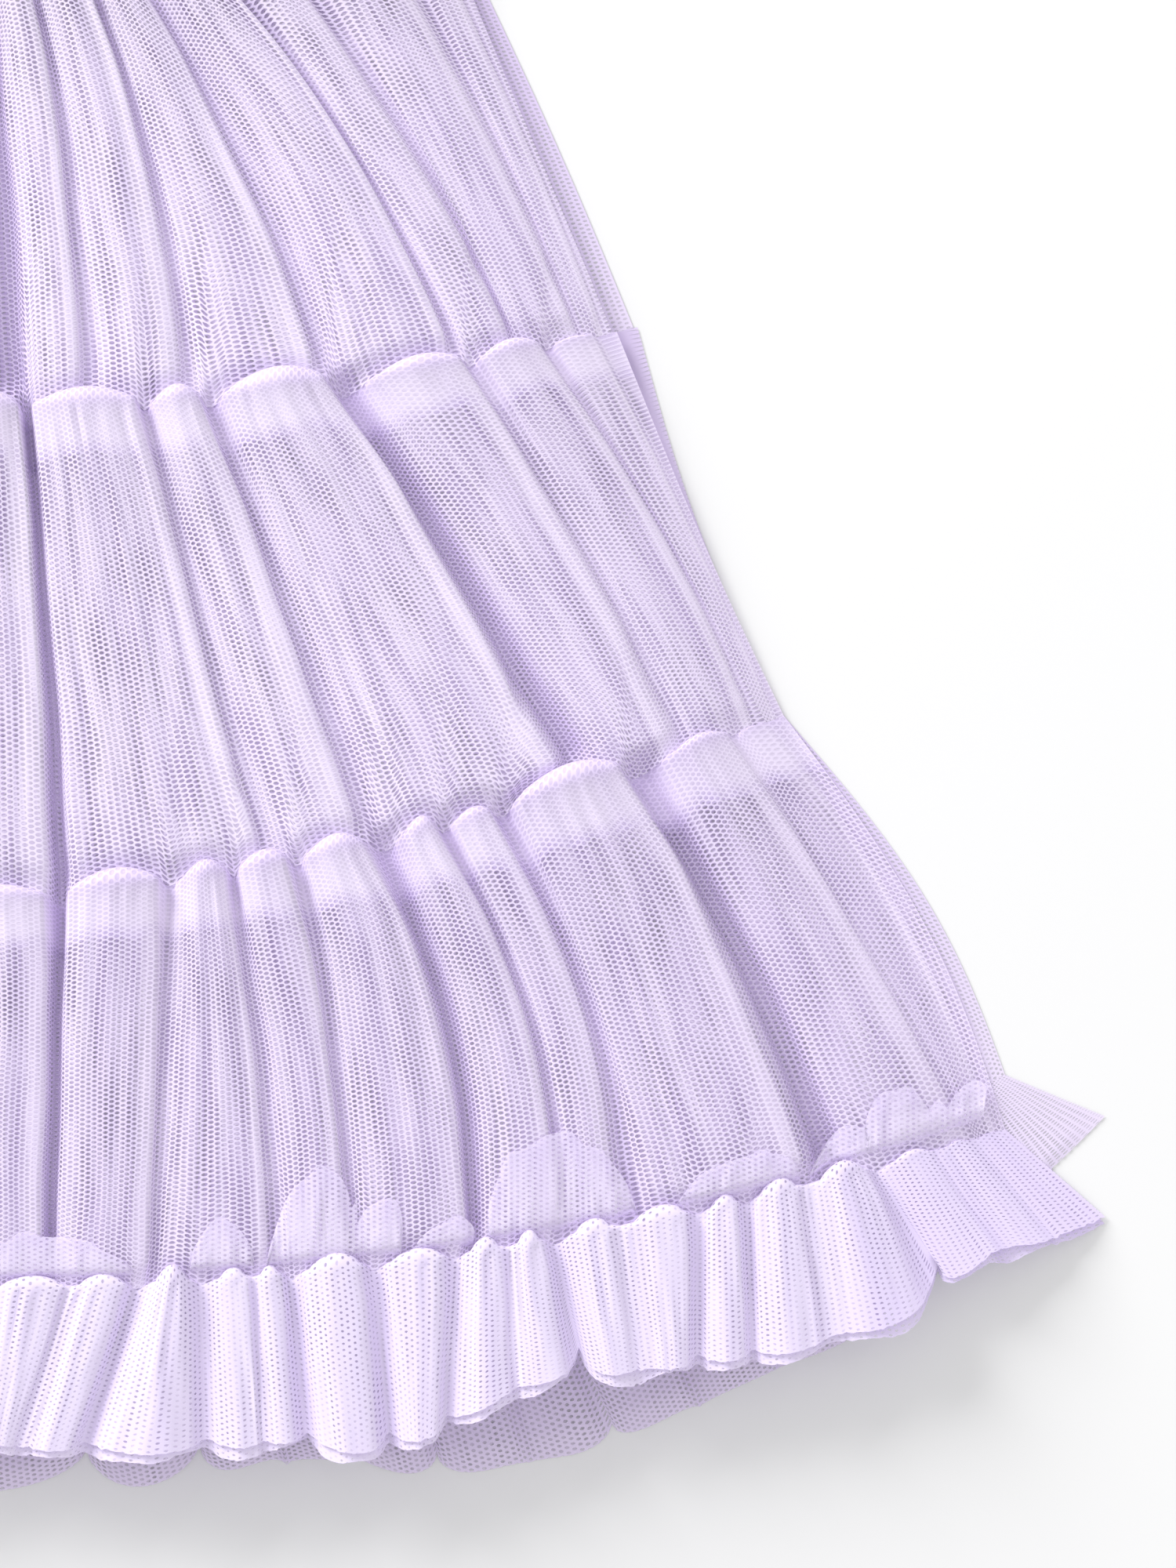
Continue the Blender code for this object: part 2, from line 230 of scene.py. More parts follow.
def seam_wave(panel, x):
    """How far the seam at a panel's top dips in its valleys and lifts on its ridges, at distances x."""
    places = np.linspace(0, len(panel.knots.top) - 1, 1500)
    return np.interp(x, across_knots(panel.knots.top, places), fold_height(panel.knots, places))


LIP_TURNS = np.linspace(-90, 90, 9)[:, None]


def rows_of(count, first=0.0, last=1.0):
    """Rows down a panel: round the lip over the seam above, and then straight down."""
    along = np.concatenate([np.full(len(LIP_TURNS), first), np.linspace(first, last, count)[1:]])
    turn = np.concatenate([LIP_TURNS[:, 0], np.full(count - 1, 90.0)])
    return along[:, None], turn[:, None]


def deep_valley(height):
    """1 in the few valleys that run deep down the whole tier, and 0 elsewhere."""
    return smooth((-2.4 - height) / 2.0)


def front_surface(panel, places, along, turn, drop=0.0):
    """Points of a front panel, in millimetres: places across it in knots, and rows along it from 0 to 1.

    Its ridges puff out at the gathers and settle lower below them, to a share of their height given by body.
    """
    top, foot, knots = panel.top, panel.foot, panel.knots
    start = across_knots(knots.top, places)
    end = across_knots(knots.foot, places)
    height = fold_height(knots, places, panel.crisp)
    x = start + (end - start) * along + across_knots(knots.bow, places) * np.sin(np.pi * along)
    share = np.clip(x / (top.half_width + (foot.half_width - top.half_width) * along), -1, 1)
    fade = 1.0 - np.abs(share) ** 8
    waver = ripple(start, 2.0 * along, 60.0, panel.seed + 6)
    x = x + panel.waver * waver * np.sin(np.pi * along) ** 0.6 * fade
    close = smooth((along - 0.93) / 0.065) if panel.below is not None else 0.0 * along
    body = panel.body + (1.0 - panel.body) * np.exp(-along * (foot.drop - top.drop) / 13.0)
    rise = np.maximum(height, 0.0) * fade
    dip = np.minimum(height, 0.0) * fade * (body + (1.0 - body) * deep_valley(height))
    z = arch(top.loft + (foot.loft - top.loft) * along, share) + dip * (1.0 - close)
    z = z + rise * (body - 0.35 * close) * (1.0 + np.sin(np.radians(turn))) / 2
    y = section_y(top, share) * (1.0 - along) + section_y(foot, share) * along
    puff = panel.puff * rise * (0.3 + 0.7 * ridge_dome(knots, places))
    y = y + puff * np.cos(np.radians(turn)) + 0.4 * height * fade * (1.0 - smooth(along / 0.5))
    if panel.below is not None:
        wave = seam_wave(panel.below, x) * fade
        z = z + np.minimum(wave, 0.0) * close
        y = y + 0.4 * wave * smooth((along - 0.5) / 0.5)
    length = foot.drop - top.drop
    swell = smooth(along / 0.06) * (1.0 - 0.8 * close)
    fine = 0.2 * ripple(start, 2.2 * along, 2.6, panel.seed)
    streaks = fine + 0.32 * ripple(start, 1.6 * along, 6.1, panel.seed + 2)
    puckers = 0.8 * ripple(start, 0.3 * along, 5.0, panel.seed + 4) * np.exp(-along * length / 16.0)
    z = z + panel.gathers * (streaks * swell + puckers * smooth(along / 0.03)) * fade - drop
    x = x + edge_lean(knots, places) * smooth(along / 0.25) * (1.0 - close) * fade
    return np.stack([x, y, z], axis=2)


def back_surface(panel, places, along):
    """Points of a back panel: pressed flat on the surface between low folds."""
    top, foot, knots = panel.top, panel.foot, panel.knots
    start = across_knots(knots.top, places)
    end = across_knots(knots.foot, places)
    x = start + (end - start) * along + across_knots(knots.bow, places) * np.sin(np.pi * along)
    share = np.clip(x / (top.half_width + (foot.half_width - top.half_width) * along), -1, 1)
    fade = 1.0 - np.abs(share) ** 8
    y = section_y(top, share) * (1.0 - along) + section_y(foot, share) * along
    height = np.maximum(fold_height(knots, places), 0.0)
    ends = smooth(along / 0.1) * smooth((1.0 - along) / 0.1)
    z = LOW_CLOTH + BACK_PRESS * height * fade * ends
    z = z + 0.12 * (1 + ripple(start, 2.0 * along, 4.0, panel.seed)) * fade
    return np.stack([x, y, z], axis=2)


def cloth_lengths(points):
    """The map of a grid of points: how far across and down the cloth each lies, in millimetres."""
    middle = points[len(points) // 2]
    across = np.concatenate([[0], np.cumsum(np.linalg.norm(np.diff(middle, axis=0), axis=1))])
    steps = np.linalg.norm(np.diff(points, axis=0), axis=2).mean(axis=1)
    down = np.concatenate([[0], np.cumsum(steps)])
    return np.stack(np.broadcast_arrays(across[None, :] - across.mean(), -down[:, None]), axis=2)


def lay_cloth(name, points, cloth_uv, tints, material, face_down=False):
    """A sheet through a grid of points in millimetres, with its own map in metres along the cloth."""
    rows, columns = points.shape[:2]
    bpy.ops.object.select_all(action="DESELECT")
    bpy.ops.mesh.primitive_grid_add(x_subdivisions=columns - 1, y_subdivisions=rows - 1, size=1.0)
    piece = bpy.context.object
    piece.name = name
    mesh = piece.data
    mesh.name = name
    mesh.vertices.foreach_set("co", (points[::-1] * MM).astype(np.float32).ravel())
    corners = np.empty(len(mesh.loops), dtype=np.int32)
    mesh.loops.foreach_get("vertex_index", corners)
    cloth_map = (cloth_uv[::-1] * MM).reshape(-1, 2)[corners]
    mesh.uv_layers[0].name = "cloth"
    mesh.uv_layers[0].data.foreach_set("uv", cloth_map.astype(np.float32).ravel())
    for label, values in tints.items():
        layer = mesh.attributes.new(label, "FLOAT", "POINT")
        layer.data.foreach_set("value", (values + 0 * points[:, :, 0])[::-1].astype(np.float32).ravel())
    mesh.materials.append(material)
    if face_down:
        mesh.flip_normals()
    mesh.shade_smooth()
    mesh.update()
    return piece


def declare(piece, node):
    if node:
        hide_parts(node)
    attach(piece, "root")


def add_math(tree, operation, first, second=None, third=None):
    node = tree.nodes.new("ShaderNodeMath")
    node.operation = operation
    for socket, value in zip(node.inputs, (first, second, third)):
        if value is None:
            continue
        if isinstance(value, (int, float)):
            socket.default_value = value
        else:
            tree.links.new(value, socket)
    return node.outputs[0]


def start_material(name, roughness):
    material = bpy.data.materials.new(name)
    material.use_nodes = True
    shader = material.node_tree.nodes["Principled BSDF"]
    shader.inputs["Roughness"].default_value = roughness
    shader.inputs["Specular IOR Level"].default_value = 0.25
    return material, material.node_tree, shader


def net_threads(group, across, down, hole_size):
    """Threads round staggered oval holes: 0 in a hole and 1 on the threads."""
    distances = []
    for shift in (0.0, 0.5):
        parts = []
        for place, pitch, half_size in ((across, HOLE_ACROSS, 0.95), (down, HOLE_DOWN, 0.62)):
            cells = add_math(group, "MULTIPLY_ADD", place, 1 / (pitch * MM), shift)
            centred = add_math(group, "SUBTRACT", add_math(group, "FRACT", cells), 0.5)
            scaled = add_math(group, "MULTIPLY", centred, pitch / half_size)
            parts.append(add_math(group, "MULTIPLY", scaled, scaled))
        distances.append(add_math(group, "SQRT", add_math(group, "ADD", *parts)))
    nearest = add_math(group, "MINIMUM", *distances)
    thread = group.nodes.new("ShaderNodeMapRange")
    thread.interpolation_type = "SMOOTHSTEP"
    thread.inputs["From Min"].default_value = 0.0
    thread.inputs["From Max"].default_value = 0.3
    group.links.new(add_math(group, "SUBTRACT", nearest, hole_size), thread.inputs["Value"])
    return thread.outputs["Result"]


def make_net_group():
    """Two plies of net lie on each other a little askew, closer in some long streaks than in others."""
    group = bpy.data.node_groups.new("tulle_net", "ShaderNodeTree")
    group.interface.new_socket("Cloth map", in_out="INPUT", socket_type="NodeSocketVector")
    for label, value in (("Hole size", 0.42), ("Thread cover", 0.8), ("Second ply", 0.5), ("Fold line", 0.0)):
        socket = group.interface.new_socket(label, in_out="INPUT", socket_type="NodeSocketFloat")
        socket.default_value = value
    group.interface.new_socket("Cover", in_out="OUTPUT", socket_type="NodeSocketFloat")
    group.interface.new_socket("Thread height", in_out="OUTPUT", socket_type="NodeSocketFloat")
    entry = group.nodes.new("NodeGroupInput")
    leave = group.nodes.new("NodeGroupOutput")
    split = group.nodes.new("ShaderNodeSeparateXYZ")
    group.links.new(entry.outputs["Cloth map"], split.inputs[0])
    across, down = split.outputs[0], split.outputs[1]
    threads = net_threads(group, across, down, entry.outputs["Hole size"])
    skewed_across = add_math(group, "MULTIPLY_ADD", down, 0.06, add_math(group, "MULTIPLY", across, 1.05))
    skewed_down = add_math(group, "MULTIPLY_ADD", across, -0.04, down)
    under = net_threads(group, skewed_across, skewed_down, entry.outputs["Hole size"])
    streak_map = group.nodes.new("ShaderNodeCombineXYZ")
    group.links.new(add_math(group, "MULTIPLY", across, 1 / (3.8 * MM)), streak_map.inputs[0])
    group.links.new(add_math(group, "MULTIPLY", down, 1 / (26.0 * MM)), streak_map.inputs[1])
    streaks = group.nodes.new("ShaderNodeTexNoise")
    streaks.inputs["Scale"].default_value = 1.0
    streaks.inputs["Detail"].default_value = 2.0
    group.links.new(streak_map.outputs[0], streaks.inputs["Vector"])
    close = group.nodes.new("ShaderNodeMapRange")
    close.interpolation_type = "SMOOTHSTEP"
    close.inputs["From Min"].default_value = 0.36
    close.inputs["From Max"].default_value = 0.60
    group.links.new(streaks.outputs["Fac"], close.inputs["Value"])
    closeness = add_math(group, "MULTIPLY_ADD", close.outputs["Result"], 0.7, 0.3)
    ply = add_math(group, "MULTIPLY", entry.outputs["Second ply"], closeness)
    veil = add_math(group, "MULTIPLY", ply, add_math(group, "MULTIPLY_ADD", under, 0.5, 0.5))
    open_part = add_math(group, "SUBTRACT", 1.0, threads)
    threads_part = add_math(group, "MULTIPLY", threads, entry.outputs["Thread cover"])
    cover = add_math(group, "MULTIPLY_ADD", open_part, veil, threads_part)
    see_through = add_math(group, "SUBTRACT", 1.0, cover)
    with_folds = add_math(group, "MULTIPLY_ADD", see_through, entry.outputs["Fold line"], cover)
    group.links.new(with_folds, leave.inputs["Cover"])
    group.links.new(threads, leave.inputs["Thread height"])
    return group


def net_material(name, pale, deep, hole, cover, second_ply):
    """Tulle from its pale colour on the crests to its deep colour in the folds, as painted shade in the
    valleys and as uneven tone.
    """
    material, tree, shader = start_material(name, 0.6)
    cloth = tree.nodes.new("ShaderNodeUVMap")
    cloth.uv_map = "cloth"
    net = tree.nodes.new("ShaderNodeGroup")
    net.node_tree = net_group
    net.inputs["Hole size"].default_value = hole
    net.inputs["Thread cover"].default_value = cover
    tree.links.new(cloth.outputs[0], net.inputs["Cloth map"])
    # One attribute carries painted shade in the valleys and uneven tone: it blends the pale colour towards
    # the deep one.
    tone_and_shade = tree.nodes.new("ShaderNodeAttribute")
    tone_and_shade.attribute_name = "tone_and_shade"
    blend = tree.nodes.new("ShaderNodeMixRGB")
    blend.inputs["Color1"].default_value = (*pale, 1)
    blend.inputs["Color2"].default_value = (*deep, 1)
    tree.links.new(tone_and_shade.outputs["Fac"], blend.inputs["Fac"])
    # Painted shade: past 1 the colour darkens beyond the deep one, mostly in the deepest valleys.
    darkest_shade = tree.nodes.new("ShaderNodeMixRGB")
    darkest_shade.inputs["Color2"].default_value = (*[0.8 * value for value in deep], 1)
    tree.links.new(blend.outputs[0], darkest_shade.inputs["Color1"])
    tree.links.new(add_math(tree, "SUBTRACT", tone_and_shade.outputs["Fac"], 1.0), darkest_shade.inputs["Fac"])
    tree.links.new(darkest_shade.outputs[0], shader.inputs["Base Color"])
    opened = add_math(tree, "MULTIPLY_ADD", tone_and_shade.outputs["Fac"], -0.55 * second_ply, second_ply)
    tree.links.new(add_math(tree, "MAXIMUM", opened, 0.0), net.inputs["Second ply"])
    fold_line = tree.nodes.new("ShaderNodeAttribute")
    fold_line.attribute_name = "fold_line"
    tree.links.new(fold_line.outputs["Fac"], net.inputs["Fold line"])
    tree.links.new(net.outputs["Cover"], shader.inputs["Alpha"])
    bump = tree.nodes.new("ShaderNodeBump")
    bump.inputs["Strength"].default_value = 0.25
    bump.inputs["Distance"].default_value = 0.15 * MM
    tree.links.new(net.outputs["Thread height"], bump.inputs["Height"])
    tree.links.new(bump.outputs[0], shader.inputs["Normal"])
    shader.inputs["Sheen Weight"].default_value = 0.1
    return material


net_group = make_net_group()
tulle = net_material("lavender_tulle", (0.88, 0.79, 0.99), (0.77, 0.655, 0.935), 0.50, 0.86, 0.68)
doubled_tulle = net_material("doubled_tulle", (0.86, 0.78, 0.98), (0.74, 0.63, 0.93), 0.20, 0.94, 0.88)
sheer_tulle = net_material("sheer_tulle", (0.89, 0.81, 1.0), (0.74, 0.63, 0.93), 0.28, 0.66, 0.5)
# The back's tulle: pressed flat and denser, and drawn darker than the front's as painted shade, since it lies
# under the front.
pressed_shaded_tulle = net_material("pressed_shaded_tulle", (0.80, 0.71, 0.91), (0.58, 0.46, 0.76), 0.34, 0.94, 0.6)


def valley_shade_and_tone(panel, places, strength=1.0):
    """How deep the lavender looks: painted shade in the valleys, most in the deep ones, least in doubled
    cloth, and uneven tone across it.
    """
    across = across_knots(panel.knots.foot, places)
    height = fold_height(panel.knots, places, panel.crisp)
    # Painted shade where the cloth dips below its arch, and more in the few deep valleys.
    valley = 0.45 * smooth((1.6 - height) / 3.5) + 0.55 * smooth((-1.2 - height) / 2.5)
    broad = 0.14 * ripple(across, 0.0, 23.0, panel.seed)
    cloudy = 0.2 + 0.16 * ripple(across, 0.0, 9.0, panel.seed + 1) + broad
    tint = np.maximum(valley, cloudy - 0.3 * fold_lines(panel.knots, places))
    return strength * (np.clip(tint, 0.0, 1.0) + 0.6 * deep_valley(height + 0.6))


def lobed_edge(knots, places):
    """How much longer the strip hangs: a rounded lobe from each valley to the next one."""
    x = across_knots(knots.foot, places)
    valleys = knots.foot[knots.edge == 0]
    ridges = knots.foot[knots.edge == 2]
    number = np.clip(np.searchsorted(valleys, x) - 1, 0, len(valleys) - 2)
    share = np.clip((x - valleys[number]) / (valleys[number + 1] - valleys[number]), 0, 1)
    notch = np.interp(x, valleys, knots.longer[knots.edge == 0])
    swell = np.interp(x, ridges, knots.longer[knots.edge == 2]) - notch
    return notch + swell * np.sin(np.pi * share) ** 0.5


def fold_lines(knots, places):
    """The doubled cloth along each ridge's outer edge, a few millimetres wide."""
    nearest = np.round(places).astype(int)
    at_edge = knots.edge[nearest] > 1
    start = np.floor(places).astype(int)
    before_edge = knots.edge[np.clip(start + 1, 0, len(knots.edge) - 1)] > 1
    first, second, share = between(knots.foot, places)
    width = np.abs(second - first)
    band = np.minimum(0.4 * width, 1.8 + 3.4 * (0.5 + 0.5 * np.sin(1.9 * start)))
    along_top = smooth((share * width - (width - band)) / 1.2) * before_edge
    return np.where(at_edge & (share < 0.5), smooth(1.0 - share * width / 1.2), along_top)


def ruffle_ply(name, panel, spacing, rows, drop, longer, node):
    """One ply of the ruffle.  The under ply hangs a little lower, so that two raw edges show."""
    places = spread_places(panel.knots, spacing, 4)
    along, turn = rows_of(rows)
    points = front_surface(panel, places, along, turn, drop)
    points[:, :, 2] = np.maximum(points[:, :, 2], LOW_CLOTH)
    height = fold_height(panel.knots, places, panel.crisp)
    fade = 1.0 - np.clip(np.abs(points[:, :, 0]) / panel.foot.half_width, 0, 1) ** 8
    reach = 0.35 * height * fade + lobed_edge(panel.knots, places)
    reach = reach + longer * (1.2 + ripple(across_knots(panel.knots.foot, places), 0.0, 31.0, 2.0))
    reach = reach + 0.3 * ripple(across_knots(panel.knots.foot, places), 0.0, 3.1, 6.0)
    points[:, :, 1] -= reach * along**1.5
    shaded_end = 0.32 * smooth((np.abs(points[:, :, 0]) - 200.0) / 30.0)
    tints = {"tone_and_shade": 0.22 + valley_shade_and_tone(panel, places, 0.8) + shaded_end}
    piece = lay_cloth(name + "_cloth", points, cloth_lengths(points), tints, doubled_tulle)
    declare(piece, node)
    return piece


ruffle_knots = panel_knots(FRONT_RUFFLE_FOLDS, HEM, FRONT_EDGE, (0.9, None))
ruffle_front = Panel(
    HEM, FRONT_EDGE, ruffle_knots, None, 4.0, gathers=1.0, puff=0.6, crisp=1.2, waver=0.0, body=1.0
)
ruffle_ply("hem_ruffle_front", ruffle_front, 1.2, 30, 0.0, 0.0, "hem_ruffle_front")
ruffle_ply("hem_ruffle_front_under", ruffle_front, 1.5, 26, 1.1, 1.8, None)


def back_panel(name, panel, rows, tone_and_shade=0.3, material=None):
    places = spread_places(panel.knots, 1.8, 3)
    along = np.linspace(0, 1, rows)[:, None]
    points = back_surface(panel, places, along)
    points[:, :, 1] -= lobed_edge(panel.knots, places) * along**2
    side = np.clip(np.abs(points[:, :, 0]) / panel.foot.half_width, 0, 1)
    # Painted shade: the deep colour everywhere but near the sides, where the back lies under the front.
    tints = {"tone_and_shade": tone_and_shade * (1.0 - side**6)}
    piece = lay_cloth(name + "_cloth", points, cloth_lengths(points), tints, material, face_down=True)
    declare(piece, name)
    return piece


back_knots = panel_knots(BACK_RUFFLE_FOLDS, BACK_HEM, BACK_EDGE, (3.1, None))
ruffle_back = Panel(BACK_HEM, BACK_EDGE, back_knots, None, 8.0)
back_panel("hem_ruffle_back", ruffle_back, 24, 0.2, pressed_shaded_tulle)


# Bottom tier: a straight strip of tulle, gathered along its top onto the foot of the middle tier.
# The front stands up in soft ridges over the hollow skirt.  The raw edges of the seam are pressed down under
# it in a paler band, and the lobes of the ruffle's heading stand up against its foot.

SEAM_2 = Section(drop=224.0, climb=44.0, curve=1.8, half_width=195.0, loft=18.0)
TIER_3_FOLDS = (
    Fold(0, 0, 20, 18, 24, 21.5, 2.0, -5.0, 0, 1.0),
    Fold(26.5, 24.5, 47, 43.5, 50, 45.5, 4.5, -0.5, 0, 1.0),
    Fold(53, 48, 63, 72, 65, 76, 3.5, -1.0, 1, 0.5),
    Fold(66.5, 80, 77, 90.5, 80, 93, 4.5, -1.5, 2, 1.5),
    Fold(82, 95, 95, 117, 101, 121, 4.0, -4.0, 5, 3.0),
    Fold(105, 126, 112, 138, 114.5, 142, 4.0, -2.0, 7, 2.0),
    Fold(117, 146, 125, 153, 128, 159, 3.5, -2.5, 6, 1.5),
    Fold(132, 166, 155, 197, 160, 207, 7.0, -5.5, 3, 4.0),
    Fold(169, 217, 181, 238, 183, 240.5, 5.0, -0.5, 2, 2.0),
    Fold(185, 242, 190, 244.5, 192, 246, 2.0, -0.5, 6, 0.5),
)
ALLOWANCE = 12.5


def allowance_waver(panel, places):
    return 1.0 + 0.09 * ripple(across_knots(panel.knots.top, places), 0.0, 17.0, panel.seed)


def front_panel(name, panel, rows, layers=0.0):
    places = spread_places(panel.knots, 1.3, 4)
    along, turn = rows_of(rows)
    points = front_surface(panel, places, along, turn)
    below_seam = along * (panel.foot.drop - panel.top.drop)
    reach = ALLOWANCE * allowance_waver(panel, places)
    patchy = 0.58 + 0.18 * ripple(across_knots(panel.knots.top, places), 0.0, 33.0, panel.seed + 5)
    doubled = patchy * smooth((reach + 0.6 - below_seam) / 4.5)
    # Painted shade along the lip over the seam, dulling the light that falls on it.
    lip = 0.7 * np.exp(-below_seam / 1.8)
    tints = {
        "tone_and_shade": (valley_shade_and_tone(panel, places) + layers) * (1.0 - doubled) + lip,
        "fold_line": np.maximum(0.4 * fold_lines(panel.knots, places), doubled),
    }
    piece = lay_cloth(name + "_cloth", points, cloth_lengths(points), tints, tulle)
    declare(piece, name)
    return piece


def seam_allowance(name, panel):
    """The raw edges of both tiers, turned down together under the lower one."""
    places = spread_places(panel.knots, 1.6, 4)
    along, turn = rows_of(10, 0.0, ALLOWANCE / (panel.foot.drop - panel.top.drop))
    along = along * allowance_waver(panel, places)
    points = front_surface(panel, places, along, turn, drop=0.5)
    thinning = 0.9 * smooth((along / along.max(axis=0) - 0.55) / 0.45)
    tints = {"tone_and_shade": valley_shade_and_tone(panel, places, 0.6) + thinning}
    piece = lay_cloth(name, points, cloth_lengths(points), tints, doubled_tulle)
    declare(piece, None)
    return piece


tier_3_knots = panel_knots(TIER_3_FOLDS, SEAM_2, HEM, (2.6, None), (195, 248, 7))
tier_3 = Panel(SEAM_2, HEM, tier_3_knots, ruffle_front, 3.0)
front_panel("tier_3_front", tier_3, 84, layers=0.2)
seam_allowance("seam_allowance_2", tier_3)
back_knots = panel_knots(TIER_3_FOLDS, SEAM_2, BACK_HEM, (4.6, 6.1), (195, 248, 7))
tier_3_back = Panel(SEAM_2, BACK_HEM, back_knots, None, 7.0)
back_panel("tier_3_back", tier_3_back, 40, 0.7, pressed_shaded_tulle)

# The heading's lobes: from where to where across the hem, how far each stands up, and how far its top leans.
Lobe = namedtuple("Lobe", "start end rise lean")
HEADING_LOBES = (
    Lobe(-240, -214, 10, 0),
    Lobe(-207, -172, 13, -3),
    Lobe(-165, -122, 19, 4),
    Lobe(-116, -98, 10, 0),
    Lobe(-94, -70, 16, -3),
    Lobe(-64, -47, 11, 0),
    Lobe(-42, 0, 12, 2),
    Lobe(3, 43, 12, -5),
    Lobe(54, 70, 13, 0),
    Lobe(72, 92, 23, 4),
    Lobe(91, 104, 15, 3),
    Lobe(106, 121, 8, 3),
    Lobe(125, 160, 22, -4),
    Lobe(168, 198, 9, 2),
    Lobe(200, 215, 9, 3),
    Lobe(214, 232, 14, -3),
    Lobe(231, 245, 10, 2),
)


def bridge_over(values, reach):
    """The highest of each row's values within a few places on either side, then averaged over as many."""
    columns = values.shape[1]
    steps = np.clip(np.arange(columns)[:, None] + np.arange(-reach, reach + 1), 0, columns - 1)
    return values[:, steps].max(axis=2)[:, steps].mean(axis=2)


HEADING_HALF_WIDTH = 242
HEADING_COLUMNS = 560
HEADING_ROWS = 16
ROOF_START = 0.55
ROOF_STEP = 0.01
ROOF_ROWS = 46
FLOOR_GAP = 0.6


def heading(name):
    """The lobes of the heading, standing up against the bottom tier's foot and bridging its valleys."""
    x = np.linspace(-HEADING_HALF_WIDTH, HEADING_HALF_WIDTH, HEADING_COLUMNS)[None, :]
    up = np.linspace(0, 1, HEADING_ROWS)[:, None]
    rise = 1.5 + 0 * x
    lean = 0 * x
    for lobe in HEADING_LOBES:
        share = np.clip((x - lobe.start) / (lobe.end - lobe.start), 0, 1)
        swell = np.sin(np.pi * share) ** 0.42
        rise = rise + lobe.rise * swell
        lean = lean + lobe.lean * swell
    rise = rise * (1.0 + 0.08 * ripple(x, 0.0, 14.0, 3.0))
    along = 1.0 - up * rise / (HEM.drop - SEAM_2.drop)
    x = x + lean * up**1.5
    levels = np.linspace(ROOF_START, 1.0, ROOF_ROWS)[:, None]
    places = np.linspace(0, len(tier_3.knots.foot) - 1, 3000)[None, :]
    outer = front_surface(tier_3, places, levels, 90.0 + 0 * levels)
    line = x[0]
    roof = bridge_over(np.array([np.interp(line, row[:, 0], row[:, 2]) for row in outer]), 3)
    row = np.clip((np.minimum(along, 0.935) - ROOF_START) / ROOF_STEP, 0, ROOF_ROWS - 1.001)
    column = (x + HEADING_HALF_WIDTH) / (2 * HEADING_HALF_WIDTH) * (HEADING_COLUMNS - 1)
    column = np.clip(column, 0, HEADING_COLUMNS - 1).astype(int)
    low_row = row.astype(int)
    share = row - low_row
    z = roof[low_row, column] * (1 - share) + roof[low_row + 1, column] * share
    half_width = SEAM_2.half_width + (HEM.half_width - SEAM_2.half_width) * along
    across = np.clip(x / half_width, -1, 1)
    y = section_y(SEAM_2, across) * (1 - along) + section_y(HEM, across) * along
    z = z + 0.1 + 0.4 * (ripple(x, 2.0 * up, 7.0, 9.0) + 1.0) * np.sin(np.pi * up)
    z = np.maximum(z - 5.0 * smooth((along - 0.945) / 0.045), FLOOR_GAP)
    points = np.stack([x + 0 * y, y, z], axis=2)[::-1]
    thinning = 0.4 * smooth((up - 0.5) / 0.5)
    tints = {"tone_and_shade": (np.clip(0.35 * ripple(x, up, 9.0, 4.0), 0, 1) + thinning)[::-1]}
    piece = lay_cloth(name, points, points[:, :, :2], tints, sheer_tulle)
    declare(piece, None)
    return piece


heading("ruffle_heading")


# Middle tier: gathered like the bottom one, onto the foot of the top tier.
# A deep fold runs down it right of its widest ridge, and a narrow one near the centre line.

SEAM_1 = Section(drop=109.0, climb=22.0, curve=2.3, half_width=159.0, loft=16.0)
TIER_2_FOLDS = (
    Fold(0, 0, 14, 20.4, 16, 24.5, 4.0, -5.5, 0, 1.0),
    Fold(17.5, 28.7, 41.5, 70, 43.7, 74, 4.5, -1.0, 0, 1.0),
    Fold(46, 78, 56.5, 93, 59, 98, 4.0, -2.0, 1, 1.5),
    Fold(63.5, 105, 86, 140, 90.5, 147, 6.0, -4.5, 1, 4.0),
    Fold(99, 158, 118, 169, 120.5, 172, 4.5, -1.0, 3, 1.0),
    Fold(123.5, 175, 136.5, 187, 138.5, 189, 4.5, -1.5, 3, 2.0),
    Fold(141, 190.5, 149, 192.5, 151, 193.5, 3.0, -1.0, 1, 1.0),
)
tier_2_knots = panel_knots(TIER_2_FOLDS, SEAM_1, SEAM_2, (1.5, None), (155, 195, -1))
tier_2 = Panel(SEAM_1, SEAM_2, tier_2_knots, tier_3, 2.0)
front_panel("tier_2_front", tier_2, 92)
seam_allowance("seam_allowance_1", tier_2)
back_knots = panel_knots(TIER_2_FOLDS, SEAM_1, SEAM_2, (3.5, 5.0), (160, 195, -3))
tier_2_back = Panel(SEAM_1, SEAM_2, back_knots, None, 6.0)
back_panel("tier_2_back", tier_2_back, 40, 0.7, pressed_shaded_tulle)


# Top tier: gathered into the waist seam.  Its folds leave the waist close together and spread downwards.
# At the sides its front lies a little inside the back, which shows as a narrow strip along the outline.

